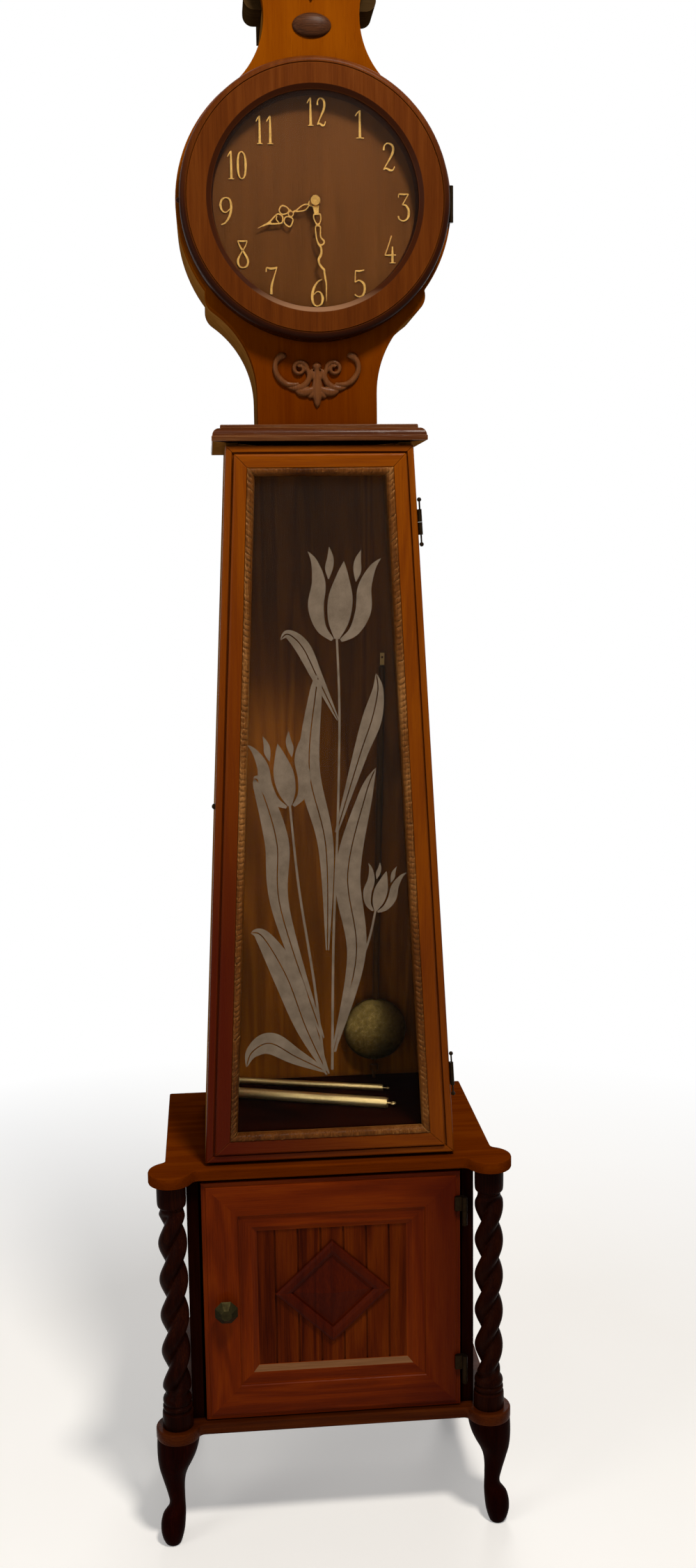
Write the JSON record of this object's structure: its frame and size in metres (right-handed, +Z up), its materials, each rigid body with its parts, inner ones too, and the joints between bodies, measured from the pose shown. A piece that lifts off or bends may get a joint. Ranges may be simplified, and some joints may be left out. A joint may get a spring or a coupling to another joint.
{
  "type": "longcase clock",
  "caption": "Tall wooden clock with a round dial, tapered trunk with an etched glass door, and a cupboard base on twisted columns and curved legs.",
  "frame": {"origin": "centre of the bounding box on the floor under the feet", "axes": "+Z up, front of the clock faces -Y, +X to the right as seen from the front"},
  "size_m": [0.489, 0.323, 2.0779],
  "materials": {
    "case_wood": "waxed",
    "base_wood": "waxed",
    "dark_wood": "polished dark stain",
    "bezel_wood": "waxed",
    "dial_wood": "satin",
    "inner_wood": "plain",
    "bead": "carved, worn gilt",
    "etched_glass": "etched",
    "clear_glass": "clear",
    "brass": "polished",
    "dark_brass": "dark",
    "steel": "plain"
  },
  "bodies": {
    "case": {"head_front_board": "case_wood", "trunk_sides": "case_wood", "cornice": "case_wood", "head_sides": "case_wood", "head_cap": "case_wood", "base_bottom_board": "base_wood", "base_top_board": "base_wood", "base_sides": "base_wood", "base_back": "base_wood", "base_top_rail": "base_wood", "leg_front_left": "dark_wood", "leg_front_right": "dark_wood", "legs_rear": "dark_wood", "column_left": "dark_wood", "column_right": "dark_wood", "head_boss": "dark_wood", "crest_leaf": "dark_wood", "neck_scroll": "dark_wood", "dial": "dial_wood", "trunk_back_board": "inner_wood", "trunk_floor": "inner_wood", "head_back_board": "inner_wood", "seat_board": "inner_wood", "numerals": "brass", "weights": "brass", "case_hinges": "brass", "movement_plates": "brass", "movement_pillars": "brass", "suspension_cock": "brass"},
    "cupboard_door": {"base_door_rails": "base_wood", "base_door_stiles": "base_wood", "base_door_panel": "base_wood", "base_door_diamond": "base_wood", "base_door_knob": "dark_brass", "base_door_hinges": "brass"},
    "trunk_door": {"trunk_door_rails": "case_wood", "trunk_door_stiles": "case_wood", "trunk_door_bead": "bead", "trunk_door_glass": "etched_glass", "trunk_door_latch": "brass", "trunk_door_hinges": "brass"},
    "bezel": {"bezel_ring": "bezel_wood", "bezel_glass": "clear_glass", "bezel_catch": "brass", "bezel_hinge": "brass"},
    "minute_arbor": {"centre_arbor": "steel", "cannon_pinion": "brass", "minute_hand": "brass", "hand_nut": "brass"},
    "hour_pipe": {"hour_wheel": "brass", "hour_hand": "brass"},
    "minute_wheel": {"minute_wheel": "brass"},
    "great_wheel": {"great_wheel": "brass"},
    "third_wheel": {"third_wheel": "brass"},
    "escape_wheel": {"escape_wheel": "brass"},
    "anchor": {"anchor": "steel"},
    "leader": {"pendulum_leader": "steel"},
    "pendulum": {"pendulum_rod": "brass", "pendulum_bob": "brass"}
  },
  "joints": [
    {"name": "cupboard_door_hinge", "type": "hinge", "parent": "case", "child": "cupboard_door", "pos_m": [0.18, -0.1355, 0.343], "axis": [0, 0, 1], "range_deg": [0, 92]},
    {"name": "trunk_door_hinge", "type": "hinge", "parent": "case", "child": "trunk_door", "pos_m": [0.16468, -0.1265, 0.65], "axis": [-0.0532, 0, 0.9986], "range_deg": [0, 100]},
    {"name": "bezel_hinge", "type": "hinge", "parent": "case", "child": "bezel", "pos_m": [0.171, -0.0948, 1.771], "axis": [0, 0, 1], "range_deg": [0, 100]},
    {"name": "minute_spin", "type": "hinge", "parent": "case", "child": "minute_arbor", "pos_m": [0, 0, 1.771], "axis": [0, 1, 0], "continuous": true},
    {"name": "hour_spin", "type": "hinge", "parent": "case", "child": "hour_pipe", "pos_m": [0, 0, 1.771], "axis": [0, 1, 0], "continuous": true},
    {"name": "minute_wheel_spin", "type": "hinge", "parent": "case", "child": "minute_wheel", "pos_m": [0.028, 0, 1.771], "axis": [0, 1, 0], "continuous": true},
    {"name": "great_spin", "type": "hinge", "parent": "case", "child": "great_wheel", "pos_m": [0, 0, 1.7224], "axis": [0, 1, 0], "continuous": true},
    {"name": "third_spin", "type": "hinge", "parent": "case", "child": "third_wheel", "pos_m": [0.02201, 0, 1.79477], "axis": [0, 1, 0], "continuous": true},
    {"name": "escape_spin", "type": "hinge", "parent": "case", "child": "escape_wheel", "pos_m": [0, 0, 1.81216], "axis": [0, 1, 0], "continuous": true},
    {"name": "leader_swing", "type": "hinge", "parent": "case", "child": "leader", "pos_m": [0, 0, 1.84416], "axis": [0, 1, 0], "range_deg": [-3, 3]},
    {"name": "anchor_swing", "type": "hinge", "parent": "case", "child": "anchor", "pos_m": [0, 0, 1.84416], "axis": [0, 1, 0], "range_deg": [-3, 3]},
    {"name": "pendulum_lift", "type": "slide", "parent": "case", "child": "pendulum", "axis": [0, 0, 1], "range_m": [0, 0.1]}
  ],
  "couplings": [
    {"joint": "hour_spin", "follows": "minute_spin", "ratio": 0.083333},
    {"joint": "minute_wheel_spin", "follows": "minute_spin", "ratio": -0.33333},
    {"joint": "great_spin", "follows": "minute_spin", "ratio": -0.125},
    {"joint": "third_spin", "follows": "minute_spin", "ratio": -8},
    {"joint": "escape_spin", "follows": "minute_spin", "ratio": 60},
    {"joint": "anchor_swing", "follows": "leader_swing", "ratio": 1}
  ]
}
